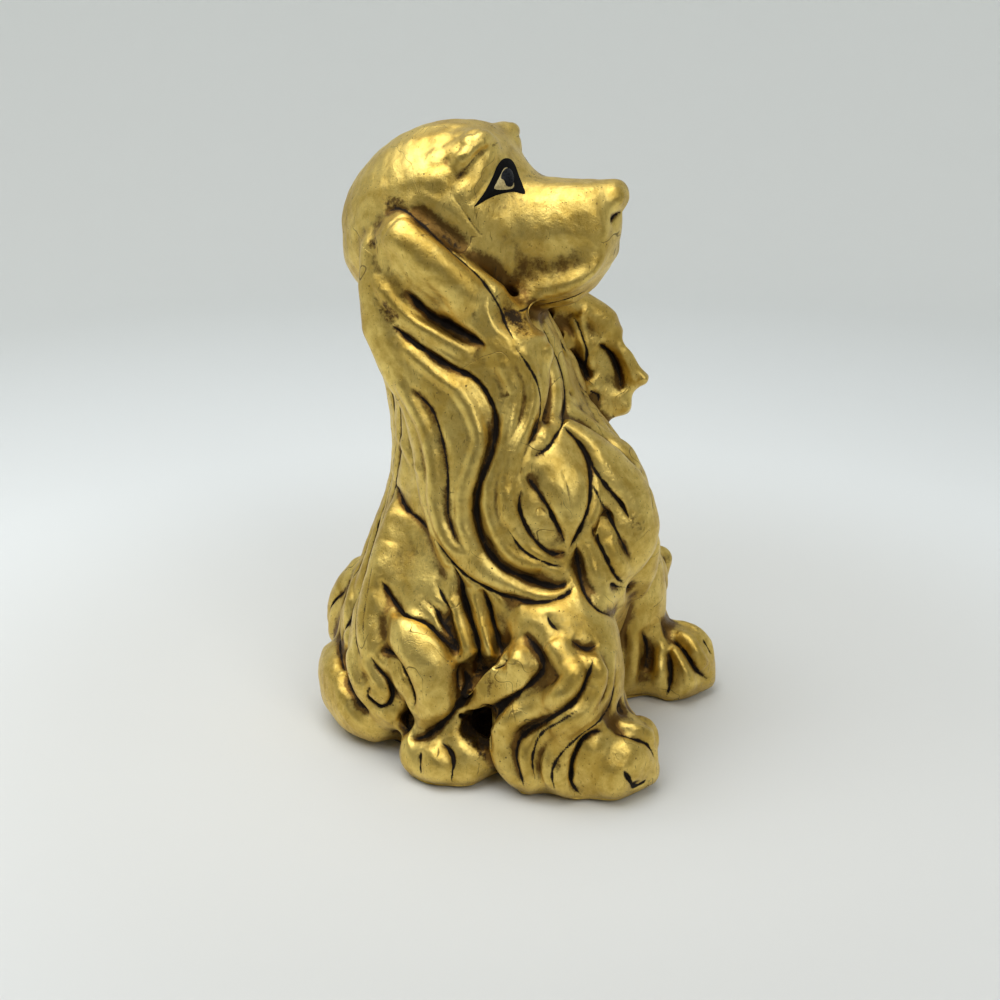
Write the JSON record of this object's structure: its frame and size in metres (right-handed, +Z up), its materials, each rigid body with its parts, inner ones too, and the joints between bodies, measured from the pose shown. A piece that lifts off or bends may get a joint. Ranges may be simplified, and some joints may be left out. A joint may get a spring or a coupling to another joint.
{
  "type": "pottery dog figure",
  "caption": "Gilded pottery spaniel sitting upright, with long wavy ears, ruffed chest, painted eyes and a felt base; a mantel or shelf ornament.",
  "frame": {"origin": "on the surface the dog stands on, on its middle plane, under the front of the body", "axes": "+Z up, the dog faces -Y, its left side is toward +X"},
  "size_m": [0.1898, 0.2124, 0.312],
  "materials": {
    "gilt_pottery": "gold leaf over pottery, satin, with dark brown in the hollows",
    "eye_glaze": "cream and dark brown paint under a gloss coat",
    "base_felt": "black felt"
  },
  "bodies": {
    "root": {"bib_lock_centre": "gilt_pottery", "body_shell": "gilt_pottery", "chest_lock": "gilt_pottery", "felt_base": "base_felt", "head_shell": "gilt_pottery", "left_belly_lock_back": "gilt_pottery", "left_belly_lock_front": "gilt_pottery", "left_bib_lock": "gilt_pottery", "left_brow": "gilt_pottery", "left_ear_back": "gilt_pottery", "left_ear_fall": "gilt_pottery", "left_ear_roll": "gilt_pottery", "left_ear_tip": "gilt_pottery", "left_elbow_lock": "gilt_pottery", "left_eye": "eye_glaze", "left_foreleg": "gilt_pottery", "left_forepaw": "gilt_pottery", "left_hind_foot": "gilt_pottery", "left_hip_lock": "gilt_pottery", "left_leg_lock_back": "gilt_pottery", "left_leg_lock_front": "gilt_pottery", "left_ruff_front": "gilt_pottery", "left_ruff_leaf": "gilt_pottery", "left_rump_lock": "gilt_pottery", "left_thigh": "gilt_pottery", "nose": "gilt_pottery", "right_belly_lock_back": "gilt_pottery", "right_belly_lock_front": "gilt_pottery", "right_bib_lock": "gilt_pottery", "right_brow": "gilt_pottery", "right_ear_back": "gilt_pottery", "right_ear_fall": "gilt_pottery", "right_ear_roll": "gilt_pottery", "right_elbow_lock": "gilt_pottery", "right_eye": "eye_glaze", "right_foreleg": "gilt_pottery", "right_forepaw": "gilt_pottery", "right_hind_foot": "gilt_pottery", "right_hip_lock": "gilt_pottery", "right_leg_lock_back": "gilt_pottery", "right_leg_lock_front": "gilt_pottery", "right_ruff_front": "gilt_pottery", "right_ruff_leaf": "gilt_pottery", "right_rump_lock": "gilt_pottery", "right_thigh": "gilt_pottery", "tail": "gilt_pottery"}
  },
  "joints": []
}
